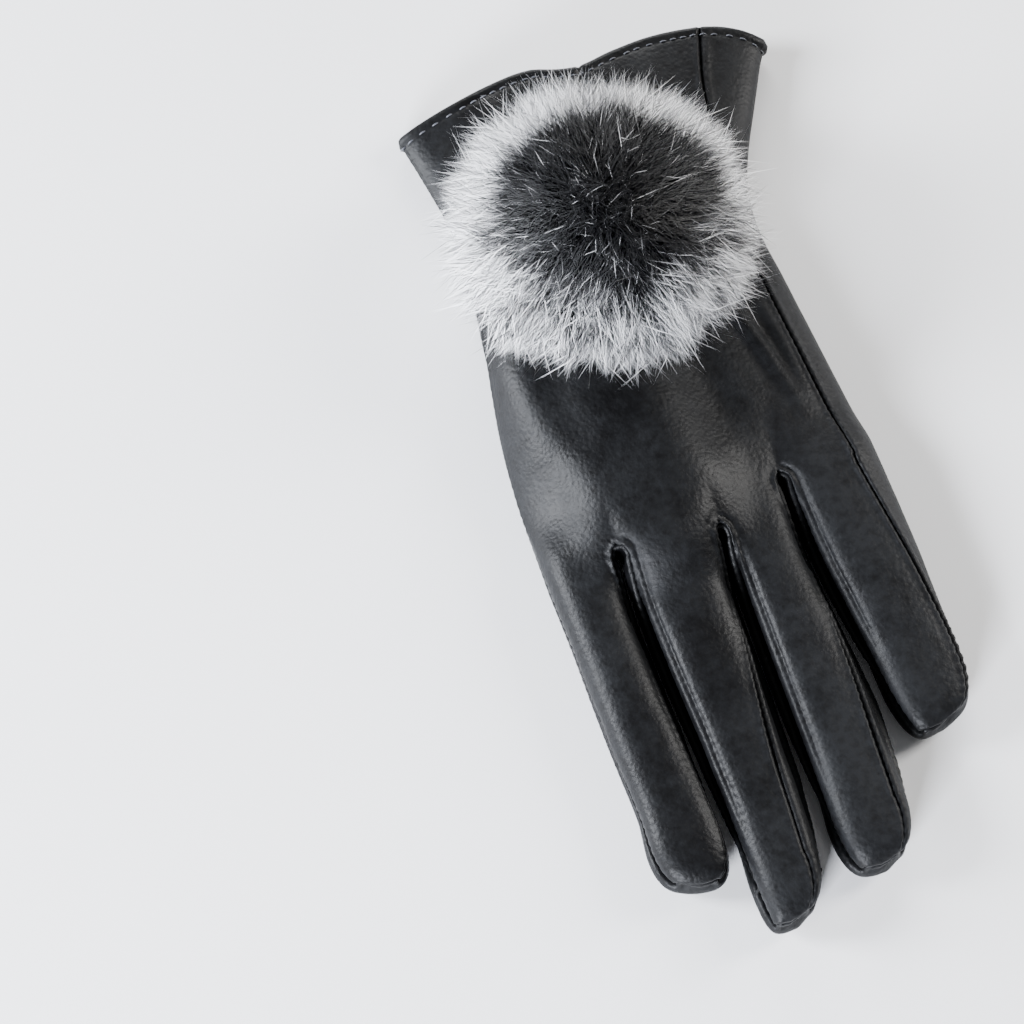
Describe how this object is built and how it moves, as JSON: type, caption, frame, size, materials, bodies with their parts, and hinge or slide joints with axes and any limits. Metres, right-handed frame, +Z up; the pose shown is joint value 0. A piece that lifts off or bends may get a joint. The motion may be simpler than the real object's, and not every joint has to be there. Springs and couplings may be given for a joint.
{
  "type": "dress glove",
  "caption": "Left-hand dress glove in black faux leather, lying palm down, with a flared cuff and a round fur pompom on the wrist.",
  "frame": {"origin": "centre of the footprint on the surface that the glove lies on", "axes": "+Y from the fingertips to the cuff, +Z up from the palm to the back, +X towards the little finger"},
  "size_m": [0.1034, 0.2366, 0.049],
  "materials": {
    "back_leather": "satin, fine pebble grain",
    "palm_leather": "satin, fine pebble grain",
    "fourchette_leather": "satin, fine pebble grain",
    "fur": "long fur, dark in the middle with pale tips"
  },
  "bodies": {
    "root": {"back_panel": "back_leather", "palm_panel": "palm_leather", "fourchette_index_middle": "fourchette_leather", "fourchette_middle_ring": "fourchette_leather", "fourchette_ring_little": "fourchette_leather", "thumb": "palm_leather", "fur_pompom": "fur"}
  },
  "joints": []
}
